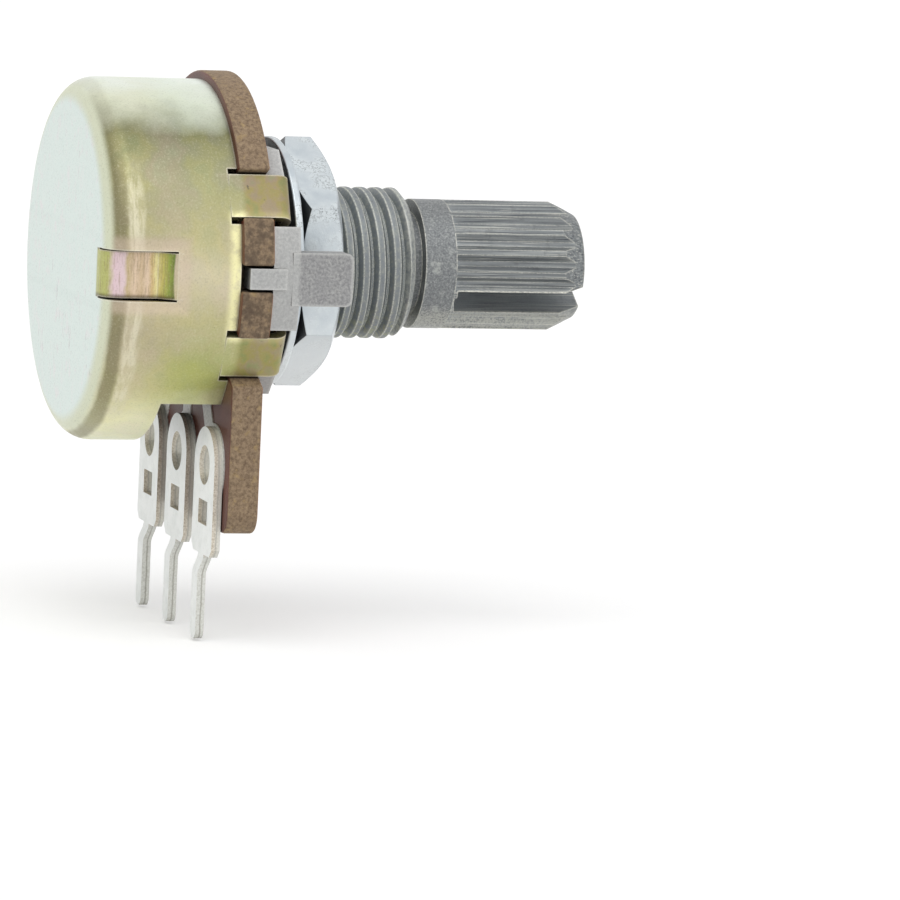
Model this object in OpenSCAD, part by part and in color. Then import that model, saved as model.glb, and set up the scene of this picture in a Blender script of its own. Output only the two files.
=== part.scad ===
// Panel potentiometer, 16 mm class, with a splined and split shaft.
// Millimetres. Every piece is drawn in its own flat frame, x across, y down and z back,
// and then stood up: the shaft points to -Y, the solder pins to -Z, the locating lug is at -X.
// The origin is on the shaft's axis, in the plane of the two raised pads that meet a panel.

/* [Front plate and bush] */
// Thickness of the casting at its two raised pads
plate_t = 1.25; // [1:0.05:1.6]
// How far the plate's field lies behind the pads
field_drop = 0.35; // [0.2:0.05:0.5]
// How far the plate's sides lie inside the cover's wall, at the lug
plate_inset = 1.8; // [1.5:0.05:2.1]
// How far the plate's sides lie inside the cover's wall, at the solder pins
plate_inset_low = 2.75; // [2.4:0.05:3.1]
// Length of the plate's corner chamfers
plate_chamfer = 1.25; // [0.8:0.05:1.6]
// How far the rim of the raised pads lies inside the board's round edge
pad_inset = 0.2; // [0.1:0.05:0.4]
// Angle that each raised pad takes
pad_angle = 32; // [26:1:34]
// Diameter of the raised ring round the foot of the bush
foot_d = 9; // [8.2:0.1:10]
// Outer diameter of the bush's thread
bush_d = 7; // [6.8:0.1:7.4]
// Length of the bush in front of the pads
bush_len = 7; // [5:0.1:10]
// Chamfer at the front of the bush
bush_chamfer = 0.4; // [0.2:0.05:0.6]
// Distance from one crest of the bush's thread to the next
thread_pitch = 0.75; // [0.5:0.05:1]
// Depth of the thread
thread_depth = 0.34; // [0.25:0.01:0.45]
// Share of the pitch that a crest takes
thread_crest_share = 0.36; // [0.1:0.01:0.4]
// Share of the pitch that a groove's bottom takes
thread_root_share = 0.14; // [0.1:0.01:0.3]
// Width of the thread's runout groove at the foot of the bush
runout_w = 0.3; // [0.2:0.05:0.4]
// Depth of the thread's runout groove
runout_depth = 0.35; // [0.2:0.05:0.4]
// Width of the locating lug
lug_w = 2.4; // [2:0.1:3]
// Thickness of the locating lug
lug_t = 1.1; // [0.9:0.05:1.3]
// How far the lug stands out in front of the pads
lug_h = 2.45; // [1.5:0.05:3.5]
// Radius of the lug's corners
lug_r = 0.3; // [0.1:0.05:0.45]
// Width of the two keys that set the track board
key_w = 0.95; // [0.7:0.05:1.2]
// Length of the keys across the shaft's axis
key_len = 1.1; // [0.9:0.05:1.2]
// How far the keys reach into the track board
key_reach = 1.1; // [0.8:0.05:1.2]
// How far the keys stand out past the rim of the raised pads
key_out = 0.1; // [0:0.05:0.15]

/* [Shaft] */
// Diameter of the knob end and of its collar
knob_d = 6; // [5.8:0.05:6.4]
// Length of the smooth collar
collar_len = 1.5; // [1:0.1:2.5]
// Gap between the bush and the collar
collar_gap = 0.55; // [0.3:0.05:1]
// Length of the splined end
spline_len = 6.35; // [4:0.05:10]
// Number of spline teeth
spline_n = 18; // [12:1:24]
// Depth of the spline teeth
spline_depth = 0.28; // [0.15:0.01:0.35]
// Share of a tooth's step that its crest takes
spline_crest_share = 0.26; // [0.15:0.01:0.35]
// Share of a tooth's step that each of its flanks takes
spline_flank_share = 0.24; // [0.15:0.01:0.3]
// Length of the tapered nose
nose_len = 1.1; // [0.6:0.05:1.6]
// How much smaller the radius gets along the nose
nose_drop = 0.55; // [0.3:0.05:0.8]
// Width of the slot that splits the knob end
slot_w = 1.1; // [0.8:0.05:1.3]
// Length of the slot
slot_len = 6.2; // [4:0.05:7]
// Diameter of the two round marks in the end face
mark_d = 1.2; // [0.8:0.05:1.4]
// Depth of the round marks
mark_depth = 0.12; // [0.05:0.01:0.2]
// Distance of the round marks from the axis
mark_r = 1.5; // [1.35:0.05:1.6]
// Diameter of the neck that turns in the bush
neck_d = 4.8; // [4.6:0.05:5]
// Diameter of the tail that carries the rotor
tail_d = 4.2; // [4:0.05:4.4]
// Distance between the two flats of the tail
tail_flats = 3.2; // [2.8:0.05:3.6]
// Diameter of the riveted head on the tail
rivet_d = 5; // [4.6:0.05:5.4]
// Thickness of the riveted head
rivet_t = 0.5; // [0.3:0.05:0.7]

/* [Retaining ring] */
// Outer diameter of the retaining ring
ring_d = 6; // [5.6:0.05:6.2]
// Thickness of the retaining ring
ring_t = 0.3; // [0.2:0.05:0.4]
// Diameter of the groove that holds the ring
groove_d = 3.8; // [3.4:0.05:3.9]
// Angle of the opening in the ring
ring_gap_angle = 70; // [40:5:100]

/* [Track board] */
// Thickness of the laminated board
board_t = 1.45; // [1.2:0.05:1.6]
// How far the board's round edge stands out past the cover's wall
board_lip = 0.4; // [0.3:0.05:0.6]
// How far the board's straight sides lie inside its round edge
board_inset = 1.1; // [0.8:0.05:1.3]
// Distance from the eyelets' middles to the board's lower edge
board_below = 2.9; // [2.6:0.05:3.3]
// Radius of the board's lower corners
board_r = 1; // [0.5:0.1:1.5]
// Width of the notches under the solder eyelets
notch_w = 1.75; // [1.4:0.05:2]
// Depth of the notches under the solder eyelets
notch_depth = 1.1; // [0.8:0.05:1.2]
// Thickness of the printed films
film_t = 0.05; // [0.04:0.01:0.08]
// How far the carbon track's rim lies inside the rotor's rim
track_inset = 0.05; // [0:0.05:0.2]
// Gap between the carbon track and the silver collector ring
track_gap = 0.55; // [0.4:0.05:0.7]
// Angle left open between the ends of the carbon track
track_open = 56; // [50:1:60]
// Distance from the board's hole to the middle of the silver collector ring
collector_inset = 0.65; // [0.6:0.05:0.75]
// Width of the silver collector ring
collector_w = 0.9; // [0.7:0.05:1]
// Width of the silver strips that lead to the eyelets
strip_w = 1.3; // [1:0.05:1.5]
// Diameter of the silver pads under the terminals
pad_print_d = 3.8; // [3.6:0.05:4]

/* [Terminals] */
// Distance between neighbouring terminals
term_spacing = 5; // [4.8:0.05:5.2]
// Distance from the cover's wall to the eyelets' middles
eyelet_out = 0.55; // [0.4:0.05:0.8]
// Thickness of the terminal sheet
term_t = 0.4; // [0.3:0.05:0.5]
// Width of the terminal blades
blade_w = 3.5; // [3:0.05:3.8]
// Length of the blades below the eyelets' middles
blade_len = 4.05; // [3.8:0.05:4.5]
// Chamfer on the blade's lower corners
blade_chamfer = 0.35; // [0.2:0.05:0.5]
// Width of the window in each blade
wire_w = 1.5; // [1:0.05:1.7]
// Height of the window in each blade
wire_h = 1.1; // [0.8:0.05:1.2]
// Distance from the eyelets' middles to the middles of the windows
wire_below = 2.15; // [2:0.05:2.3]
// Width of the solder pins
pin_w = 0.95; // [0.7:0.05:1.2]
// Length of the solder pins below their blades
pin_len = 3.9; // [2.5:0.1:7]
// How far the pins are set back from their blades
pin_set = 0.25; // [0.1:0.05:0.35]
// Length over which the pins are set back
pin_set_len = 0.9; // [0.6:0.05:1.4]
// Outer diameter of the eyelet barrel drawn from the sheet
barrel_d = 1.9; // [1.7:0.05:2.1]
// Diameter of the hole through the barrel
barrel_bore = 1.2; // [1:0.05:1.3]
// Diameter of the hole's flared mouth at the back
mouth_d = 1.8; // [1.4:0.05:2]
// Diameter of the petals crimped over on the board's front
crimp_d = 3.2; // [2.9:0.05:3.4]
// How far the curled petals stand out from the board
crimp_h = 0.32; // [0.2:0.02:0.4]
// Number of petals
petals = 6; // [5:1:8]
// Width of the splits between the petals
split_w = 0.3; // [0.2:0.05:0.4]

/* [Dust cover] */
// Outer diameter of the drawn cover
cover_d = 16.6; // [16.4:0.05:16.8]
// Depth of the cover behind the board
cover_depth = 6.15; // [5.8:0.05:8]
// Thickness of the cover's sheet
sheet_t = 0.45; // [0.35:0.05:0.5]
// Outer radius of the cover's rear edge
cover_r = 1.3; // [1:0.1:1.5]
// How far the terminal opening cuts in from the cover's wall
mouth_inset = 2.3; // [2.1:0.05:2.5]
// Depth of the terminal opening behind the board
mouth_depth = 2.8; // [2:0.05:3]
// Width of the four crimped tabs
tab_w = 2.05; // [1.6:0.05:2.3]
// Angle of the tabs from the line through the lug
tab_angle = 26; // [25:0.5:27.5]
// Length of the folded tabs from the cover's wall
tab_len = 2.35; // [2.1:0.05:2.45]
// Inner radius of the fold in the tabs
tab_fold_r = 0.2; // [0.1:0.05:0.3]
// How far the tabs' seats are sunk below the plate's field
tab_seat_depth = 0.35; // [0.2:0.05:0.4]
// Width of the relief cuts beside the tabs
relief_w = 0.3; // [0.2:0.05:0.4]
// Depth of the relief cuts beside the tabs
relief_depth = 0.45; // [0.3:0.05:0.6]
// Width of the stop pressed in from the wall
stop_w = 2.1; // [1.6:0.05:2.4]
// How far the stop is pressed in
stop_press = 0.75; // [0.65:0.05:0.9]
// Distance from the board's back to the stop's front end
stop_start = 2.9; // [2.6:0.05:3.1]
// Length of the stop's sloping front end
stop_ramp = 0.75; // [0.6:0.05:1]
// Gap left by the shear along the stop's sides
shear_gap = 0.08; // [0.05:0.01:0.15]
// Length over which the stop grows out of the wall and the cover's back
stop_lip = 0.25; // [0.15:0.05:0.4]

/* [Rotor and wiper] */
// Outer diameter of the rotor's hub
hub_d = 5.8; // [5.6:0.05:5.9]
// Gap between the rotor's rim and the cover's wall
disc_gap = 1.35; // [1.15:0.05:1.5]
// Thickness of the rotor's disc
disc_t = 1.3; // [1:0.05:1.6]
// Space for the wiper between the board and the disc
wiper_space = 1.15; // [1:0.05:1.3]
// Height of the stop arm above the disc
arm_h = 2.2; // [1.8:0.05:2.4]
// How far the stop arm reaches in from the rotor's rim
arm_inset = 1.7; // [1.1:0.1:2.3]
// Angle through which the shaft turns between its stops
travel_angle = 300; // [270:1:305]
// Thickness of the wiper's spring sheet
spring_t = 0.2; // [0.15:0.01:0.25]
// Width of the wiper's two fingers
finger_w = 0.6; // [0.4:0.05:0.7]
// Length of the wiper's two fingers
finger_len = 3.4; // [3:0.1:3.8]
// Radius of the rounded contact at a finger's end
contact_r = 0.3; // [0.25:0.05:0.4]
// Angle that the wiper's root takes on the rotor's face
spring_angle = 110; // [100:1:120]
// Width of the strap that joins the fingers to the wiper's root
strap_w = 1.1; // [0.8:0.05:1.3]
// How far the strap reaches past the fingers' roots
strap_reach = 0.4; // [0.3:0.05:0.5]
// How far the wiper's sheet stands out past the sides of its fingers
spring_edge = 0.35; // [0.2:0.05:0.45]
// Diameter of the rotor's two pegs that hold the wiper
peg_d = 0.9; // [0.7:0.05:1.1]
// Angle of the pegs from the middle of the wiper's root
peg_angle = 38; // [32:1:44]

/* [Nut and washer] */
// Distance across the flats of the nut
nut_flats = 10; // [9.5:0.1:10.5]
// Thickness of the nut
nut_t = 2; // [1.6:0.1:2.6]
// Angle of the chamfer on the nut's corners
nut_chamfer_angle = 27; // [20:1:35]
// Depth of the nut's countersinks
nut_sink = 0.3; // [0.2:0.05:0.5]
// Outer diameter of the washer
washer_d = 11.5; // [11:0.1:11.8]
// Thickness of the washer
washer_t = 0.4; // [0.3:0.05:0.6]
// Gap between the pads and the washer while the nut sits loose
washer_stand = 0.55; // [0.1:0.05:2]

/* [Clearances] */
// Radial clearance of the neck in the bush
neck_clear = 0.05; // [0.03:0.01:0.08]
// Radial clearance of the nut on the bush
nut_clear = 0.05; // [0.03:0.01:0.1]
// Radial clearance of the washer on the bush
washer_clear = 0.15; // [0.1:0.05:0.2]
// Gap between flat faces that turn against each other
face_clear = 0.05; // [0.03:0.01:0.08]
// Gap between pieces that are fitted and stay still
seat_clear = 0.04; // [0.02:0.01:0.06]
// Radial clearance of the rotor's hub in the board
hub_clear = 0.4; // [0.3:0.05:0.45]
// Clearance between the stop arm and the cover's wall
arm_clear = 0.25; // [0.2:0.01:0.3]
// Clearance of the tabs and the keys in their board slots
slot_clear = 0.12; // [0.08:0.01:0.2]
// Angle left between the stop and the arm at the ends of the travel
stop_play_angle = 0.5; // [0.3:0.1:1]
// Angle between the shaft's rest and its clockwise stop
rest_play_angle = 1; // [0.5:0.5:5]

/* [Hidden] */
$fn = 64;
eps = 0.01;
over = 1;
board_d = cover_d + 2 * board_lip;
board_w = board_d - 2 * board_inset;
pad_d = board_d - 2 * pad_inset;
key_r = pad_d / 2 + key_out;
plate_w = cover_d - 2 * plate_inset;
plate_h = cover_d - 2 * plate_inset_low;
tab_end = cover_d / 2 - tab_len;
mouth_drop = cover_d / 2 - mouth_inset;
eyelet_drop = cover_d / 2 + eyelet_out;
board_drop = eyelet_drop + board_below;
blade_drop = eyelet_drop + blade_len;
wire_drop = eyelet_drop + wire_below;
pin_drop = blade_drop + pin_len;
board_back = plate_t + board_t;
film_back = board_back + film_t;
cover_back = board_back + cover_depth;
cover_in_r = cover_d / 2 - sheet_t;
seat_z = field_drop + tab_seat_depth;
tab_front = seat_z - sheet_t;
bore_r = neck_d / 2 + neck_clear;
board_hole_r = hub_d / 2 + hub_clear;
hub_front = plate_t + ring_t + 2 * face_clear;
rotor_front = board_back + wiper_space;
disc_back = rotor_front + disc_t;
collar_back = -bush_len - collar_gap;
spline_back = collar_back - collar_len;
tip = spline_back - spline_len;
thread_start = runout_w + thread_depth;
thread_turns = floor((bush_len - bush_chamfer - thread_start) / thread_pitch);
crimp_mid_r = (crimp_d + barrel_bore) / 4;
crimp_half = (crimp_d - barrel_bore) / 4;
crimp_arc_r = (crimp_half * crimp_half + crimp_h * crimp_h) / (2 * crimp_h);
stop_wall_r = cover_d / 2 - stop_press;
stop_corner_r = cover_r - stop_press / 2;
stop_root = cover_d / 2 - stop_press - stop_corner_r;
arm_out_r = cover_in_r - arm_clear;
arm_half = (360 - travel_angle) / 2 - asin(stop_w / 2 / (stop_wall_r - sheet_t)) - stop_play_angle;
rest_turn = travel_angle / 2 - rest_play_angle;
disc_r = cover_in_r - disc_gap;
arm_r = disc_r - arm_inset;
collector_r = board_hole_r + collector_inset;
track_out_r = disc_r - track_inset;
track_in_r = collector_r + collector_w / 2 + track_gap;
track_r = (track_out_r + track_in_r) / 2;
spring_r = track_r + finger_w / 2 + spring_edge;
spring_hole_r = hub_d / 2 + seat_clear;
bridge_r = collector_r + finger_w / 2 + spring_edge;
peg_r = (spring_r + spring_hole_r) / 2;
spring_front = rotor_front - spring_t;

// Stands a piece up from its flat frame: x stays, y becomes down, z becomes back
module upright() {
  rotate([-90, 0, 0]) children();
}

// Turns the shaft's group from the middle of its travel to where it rests
module at_rest() {
  upright() rotate([0, 0, rest_turn]) children();
}

// A block from 0 to w and 0 to h whose outer corner is rounded
module corner_block(w, h, r) {
  square([w - r, h]);
  square([w, h - r]);
  translate([w - r, h - r]) circle(r = r);
}

// Rectangle centred on x, from y0 to y1
module strip(w, y0, y1) {
  translate([-w / 2, y0]) square([w, y1 - y0]);
}

// A wedge between two directions, measured from x towards y, reaching past radius r
module wedge(from, to, r) {
  steps = ceil((to - from) / 60);
  polygon(concat([[0, 0]], [for (i = [0:steps]) let (a = from + (to - from) * i / steps)
    2 * r * [cos(a), sin(a)]]));
}

// Flat ring between two radii
module ring(r_out, r_in) {
  difference() {
    circle(r = r_out);
    circle(r = r_in);
  }
}

// Repeats a shape at the four tabs, drawn along x
module at_tabs() {
  for (side = [0, 180], turn = [-tab_angle, tab_angle])
    rotate([0, 0, side + turn]) children();
}

// The casting's outline in its field, with chamfered corners
module plate_outline() {
  w = plate_w / 2;
  h = plate_h / 2;
  c = plate_chamfer;
  polygon([[w - c, -h], [w, c - h], [w, h - c], [w - c, h],
           [c - w, h], [-w, h - c], [-w, c - h], [c - w, -h]]);
}

// One raised pad, open towards x
module pad_outline() {
  intersection() {
    circle(r = pad_d / 2);
    wedge(-pad_angle / 2, pad_angle / 2, pad_d / 2);
  }
}

// Upright lug with rounded front corners, drawn in y and z
module lug_profile() {
  difference() {
    translate([-lug_w / 2, -lug_h]) square([lug_w, lug_h + field_drop + eps]);
    for (side = [-1, 1])
      translate([side * lug_w / 2, -lug_h]) difference() {
        square(2 * lug_r, center = true);
        translate([-side * lug_r, lug_r]) circle(r = lug_r);
      }
  }
}

// The bush's outer profile in radius and distance in front of the pads, with one groove a pitch
module bush_profile() {
  r = bush_d / 2;
  root = r - thread_depth;
  flank = (1 - thread_crest_share - thread_root_share) / 2;
  groove = [[0, r], [flank, root], [flank + thread_root_share, root], [1 - thread_crest_share, r]];
  polygon(concat([[0, -plate_t], [r, -plate_t], [r - runout_depth, 0], [r - runout_depth, runout_w]],
                 [for (i = [0:thread_turns - 1], k = groove) [k[1], thread_start + (i + k[0]) * thread_pitch]],
                 [[r, bush_len - bush_chamfer], [r - bush_chamfer, bush_len], [0, bush_len]]));
}

// One casting: plate, two raised pads, ring, threaded bush, locating lug and board keys
module front_plate() {
  color("silver") upright() difference() {
    union() {
      difference() {
        translate([0, 0, field_drop]) linear_extrude(plate_t - field_drop) plate_outline();
        at_tabs() translate([tab_end - 2 * slot_clear, -tab_w / 2 - slot_clear, -over])
          cube([pad_d, tab_w + 2 * slot_clear, over + seat_z]);
      }
      linear_extrude(plate_t) {
        for (side = [0, 180]) rotate(side) pad_outline();
        circle(r = foot_d / 2);
      }
      rotate([180, 0, 0]) rotate_extrude() bush_profile();
      translate([-pad_d / 2, 0, 0]) rotate([90, 0, 90]) linear_extrude(lug_t) lug_profile();
      for (side = [0, 180]) rotate([0, 0, side])
        translate([key_r - key_len, -key_w / 2, plate_t / 2])
          cube([key_len, key_w, plate_t / 2 + key_reach]);
    }
    translate([0, 0, -bush_len - over]) cylinder(r = bore_r, h = bush_len + plate_t + 2 * over);
  }
}

// The splined section: flat crests and flat roots with straight flanks
module spline_outline() {
  r = knob_d / 2 - eps;
  step = 360 / spline_n;
  rise = spline_flank_share;
  crest = rise + spline_crest_share;
  polygon([for (i = [0:spline_n - 1], k = [[0, 0], [rise, 1], [crest, 1], [crest + rise, 0]])
    let (a = (i + k[0]) * step, d = r - spline_depth * (1 - k[1])) d * [cos(a), sin(a)]]);
}

// Splined knob end with its tapered nose, split by the slot and marked on its end face
module knob_end() {
  nose_r = knob_d / 2 - nose_drop;
  difference() {
    intersection() {
      translate([0, 0, tip]) linear_extrude(spline_len + eps) spline_outline();
      translate([0, 0, tip]) rotate_extrude()
        polygon([[0, 0], [nose_r, 0], [knob_d / 2, nose_len], [knob_d / 2 + over, nose_len],
                 [knob_d / 2 + over, spline_len + over], [0, spline_len + over]]);
    }
    translate([-knob_d, -slot_w / 2, tip - over]) cube([2 * knob_d, slot_w, slot_len + over]);
    for (side = [-1, 1])
      translate([0, side * mark_r, tip - over]) cylinder(d = mark_d, h = over + mark_depth, $fn = 24);
  }
}

// Turned and rolled shaft: knob end, collar, neck, ring groove, flatted tail and riveted head
module shaft() {
  color("lightgray") at_rest() {
    knob_end();
    difference() {
      translate([0, 0, spline_back]) cylinder(d = knob_d, h = collar_len);
      translate([-knob_d, -slot_w / 2, spline_back - over])
        cube([2 * knob_d, slot_w, over + max(0, slot_len - spline_len)]);
    }
    translate([0, 0, collar_back - eps]) cylinder(d = neck_d, h = plate_t + face_clear - collar_back + eps);
    translate([0, 0, plate_t]) cylinder(d = groove_d, h = hub_front - plate_t + eps);
    translate([0, 0, hub_front]) linear_extrude(disc_back - hub_front + eps) tail_outline(0);
    translate([0, 0, disc_back]) cylinder(d = rivet_d, h = rivet_t);
  }
}

// The tail's section, a circle with two flats, larger by a gap
module tail_outline(gap) {
  intersection() {
    circle(r = tail_d / 2 + gap);
    square([tail_d + over, tail_flats + 2 * gap], center = true);
  }
}

// Open spring ring in the shaft's groove, behind the plate
module retaining_ring() {
  color("gray") at_rest() translate([0, 0, plate_t + face_clear]) linear_extrude(ring_t - face_clear)
    difference() {
      ring(ring_d / 2, groove_d / 2 + seat_clear);
      wedge(-ring_gap_angle / 2, ring_gap_angle / 2, ring_d / 2);
    }
}

// Moulded rotor: hub, disc, stop arm opposite the wiper's side, and the wiper's two pegs
module rotor() {
  color("dimgray") at_rest() difference() {
    union() {
      translate([0, 0, hub_front]) cylinder(d = hub_d, h = rotor_front - hub_front + eps);
      translate([0, 0, rotor_front]) cylinder(r = disc_r, h = disc_t);
      translate([0, 0, rotor_front]) linear_extrude(disc_t + arm_h) intersection() {
        ring(arm_out_r, arm_r);
        wedge(-arm_half, arm_half, arm_out_r);
      }
      for (turn = [-peg_angle, peg_angle]) rotate([0, 0, 90 + turn])
        translate([peg_r, 0, spring_front - spring_t]) cylinder(d = peg_d, h = 2 * spring_t + eps, $fn = 24);
    }
    translate([0, 0, hub_front - over]) linear_extrude(disc_back - hub_front + arm_h + 2 * over)
      tail_outline(seat_clear);
  }
}

// Side view of one finger: flat root, slope to the board and a rounded contact
module finger_profile() {
  contact_z = film_back + face_clear + contact_r;
  run = finger_len;
  polygon([[-strap_reach, rotor_front], [-strap_reach, spring_front], [spring_t, spring_front],
           [run - contact_r, contact_z - spring_t / 2], [run, contact_z],
           [run - contact_r, contact_z + spring_t / 2], [spring_t * 3 / 2, rotor_front]]);
  translate([run - contact_r / 2, contact_z]) circle(r = contact_r);
}

// Bronze spring: a ring sector on the rotor's face, with a finger on each printed ring
module wiper() {
  root = -finger_len + contact_r / 2;
  color("goldenrod") at_rest() {
    translate([0, 0, spring_front]) linear_extrude(spring_t) difference() {
      union() {
        intersection() {
          ring(spring_r, spring_hole_r);
          wedge(90 - spring_angle / 2, 90 + spring_angle / 2, spring_r);
        }
        intersection() {
          ring(spring_r, spring_hole_r);
          translate([root - strap_reach, -spring_r]) square([strap_w, 2 * spring_r]);
        }
        intersection() {
          ring(bridge_r, spring_hole_r);
          wedge(90, 270, spring_r);
        }
      }
      for (turn = [-peg_angle, peg_angle]) rotate(90 + turn)
        translate([peg_r, 0]) circle(r = peg_d / 2 + seat_clear, $fn = 24);
    }
    for (r = [track_r, collector_r])
      translate([root, -r + finger_w / 2, 0]) rotate([90, 0, 0]) linear_extrude(finger_w) finger_profile();
  }
}

// The board's outline with its tab slots, key slots and the notches under the eyelets
module board_outline() {
  w = board_w / 2;
  difference() {
    union() {
      circle(r = board_d / 2);
      for (side = [0, 1]) mirror([side, 0]) corner_block(w, board_drop, board_r);
    }
    circle(r = board_hole_r);
    at_tabs() translate([cover_in_r - slot_clear, -tab_w / 2 - slot_clear])
      square([board_d, tab_w + 2 * slot_clear]);
    for (side = [0, 180]) rotate(side)
      translate([key_r - key_len - slot_clear, -key_w / 2 - slot_clear])
        square([board_d, key_w + 2 * slot_clear]);
    for (i = [-1:1]) translate([i * term_spacing, 0]) {
      strip(notch_w, board_drop - notch_depth, board_drop + over);
      translate([0, eyelet_drop]) circle(r = barrel_d / 2 + seat_clear, $fn = 32);
    }
  }
}

// Punched board of laminated paper
module track_board() {
  color("saddlebrown") upright() translate([0, 0, plate_t]) linear_extrude(board_t) board_outline();
}

// The carbon track's outline: an open ring whose ends face the terminals
module track_outline() {
  intersection() {
    ring(track_out_r, track_in_r);
    wedge(90 + track_open / 2, 90 + 360 - track_open / 2, track_out_r);
  }
}

// Carbon film printed on the board's back
module resistive_track() {
  color("black") upright() translate([0, 0, board_back]) linear_extrude(film_t) track_outline();
}

// Silver print round one eyelet
module print_pad(i) {
  translate([i * term_spacing, eyelet_drop]) circle(r = pad_print_d / 2, $fn = 40);
}

// Hole in the print for an eyelet's barrel
module print_hole(i) {
  translate([i * term_spacing, eyelet_drop]) circle(r = barrel_d / 2 + seat_clear, $fn = 32);
}

// Silver ring for the wiper's inner finger, with its strip to the middle eyelet
module collector_ring() {
  color("gainsboro") upright() translate([0, 0, board_back]) linear_extrude(film_t) difference() {
    union() {
      ring(collector_r + collector_w / 2, collector_r - collector_w / 2);
      strip(strip_w, collector_r, eyelet_drop);
      print_pad(0);
    }
    print_hole(0);
  }
}

// Silver prints from the ends of the carbon track to the outer eyelets
module end_pads() {
  end = track_r * [sin(track_open / 2), cos(track_open / 2)];
  eye = [term_spacing, eyelet_drop];
  run = norm(eye - end);
  lean = atan2(eye[0] - end[0], eye[1] - end[1]);
  color("gainsboro") upright() translate([0, 0, board_back]) linear_extrude(film_t)
    for (side = [0, 1]) mirror([side, 0]) difference() {
      union() {
        translate(end) rotate(-lean) strip(strip_w, 0, run);
        print_pad(1);
      }
      print_hole(1);
      track_outline();
    }
}

// Section of the petals, curled over from the barrel's bore to the board
module curl_profile() {
  intersection() {
    translate([crimp_mid_r, crimp_h - crimp_arc_r]) circle(r = crimp_arc_r);
    translate([barrel_bore / 2, -seat_clear]) square([crimp_d, crimp_h + over]);
  }
}

// Petals of the crimped barrel, parted by narrow splits
module crimp() {
  difference() {
    rotate_extrude($fn = 48) curl_profile();
    for (i = [0:petals - 1]) rotate([0, 0, i * 360 / petals])
      translate([barrel_d / 2, -split_w / 2, 0]) cube([crimp_d, split_w, crimp_h + over]);
    translate([0, 0, -over]) cylinder(d = crimp_d + over, h = over);
  }
}

// One stamped terminal: blade, window, solder pin and the eyelet barrel crimped over the board
module terminal(i) {
  w = blade_w / 2;
  back = film_back + term_t;
  pin_start = blade_drop + pin_set_len;
  translate([i * term_spacing, 0, 0]) {
    difference() {
      union() {
        translate([0, 0, film_back]) linear_extrude(term_t) {
          translate([0, eyelet_drop]) circle(r = w);
          polygon([[-w, eyelet_drop], [w, eyelet_drop], [w, blade_drop - blade_chamfer],
                   [w - blade_chamfer, blade_drop], [blade_chamfer - w, blade_drop],
                   [-w, blade_drop - blade_chamfer]]);
        }
        translate([0, eyelet_drop, plate_t - eps]) cylinder(d = barrel_d, h = board_t + film_t + 2 * eps, $fn = 32);
      }
      translate([-wire_w / 2, wire_drop - wire_h / 2, film_back - over])
        cube([wire_w, wire_h, term_t + 2 * over]);
      translate([0, eyelet_drop, plate_t - over])
        cylinder(d = barrel_bore, h = back - plate_t + 2 * over, $fn = 32);
      translate([0, eyelet_drop, back]) rotate([180, 0, 0]) rotate_extrude($fn = 32)
        polygon([[0, -over], [mouth_d / 2, -over], [mouth_d / 2, 0], [barrel_bore / 2, 2 * term_t],
                 [0, 2 * term_t]]);
    }
    translate([0, eyelet_drop, plate_t]) rotate([180, 0, 0]) crimp();
    translate([-pin_w / 2, 0, 0]) rotate([90, 0, 90]) linear_extrude(pin_w)
      polygon([[blade_drop - eps, film_back], [pin_start, film_back + pin_set],
               [pin_start + eps, film_back + pin_set], [pin_start + eps, back + pin_set],
               [pin_start, back + pin_set], [blade_drop - eps, back]]);
    translate([0, 0, film_back + pin_set]) linear_extrude(term_t) {
      strip(pin_w, pin_start, pin_drop - pin_w / 2);
      translate([0, pin_drop - pin_w / 2]) circle(d = pin_w, $fn = 32);
    }
  }
}

// The outer terminal on the side away from the lug
module terminal_1() {
  color("whitesmoke") upright() terminal(1);
}

// The middle terminal, joined to the wiper
module terminal_2() {
  color("whitesmoke") upright() terminal(0);
}

// The outer terminal on the lug's side
module terminal_3() {
  color("whitesmoke") upright() terminal(-1);
}

// Section of the cup: wall, rounded rear edge and flat back
module cup_profile() {
  translate([0, board_back]) difference() {
    corner_block(cover_d / 2, cover_depth, cover_r);
    translate([0, -over]) corner_block(cover_in_r, cover_depth - sheet_t + over, cover_r - sheet_t);
  }
}

// Section of one tab, folded over the plate
module tab_profile() {
  translate([0, board_back + relief_depth]) mirror([0, 1]) difference() {
    corner_block(cover_d / 2, board_back + relief_depth - tab_front, tab_fold_r + sheet_t);
    translate([0, -over])
      corner_block(cover_in_r, board_back + relief_depth - tab_front - sheet_t + over, tab_fold_r);
  }
}

// Outline of one tab from above, with a rounded end
module tab_outline() {
  translate([tab_end + tab_w / 2, -tab_w / 2]) square([cover_d, tab_w]);
  translate([tab_end + tab_w / 2, 0]) circle(d = tab_w, $fn = 40);
}

// Section of the stop: the wall and rear edge pressed in, with a slope back to the wall
module stop_profile() {
  r = cover_d / 2;
  z0 = board_back + stop_start;
  z1 = z0 + stop_ramp;
  polygon([[r, z0 - stop_lip], [r, z0], [stop_wall_r, z1], [stop_wall_r - sheet_t, z1],
           [stop_wall_r - sheet_t, z1 - stop_lip], [r - sheet_t, z0 - stop_lip]]);
  translate([0, z1]) difference() {
    corner_block(stop_wall_r, cover_back - z1, stop_corner_r);
    translate([0, -over]) corner_block(stop_wall_r - sheet_t, cover_back - z1 - sheet_t + over,
                                       stop_corner_r - sheet_t);
    translate([-over, -over]) square([stop_root - stop_lip + over, cover_depth + over]);
  }
}

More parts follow.
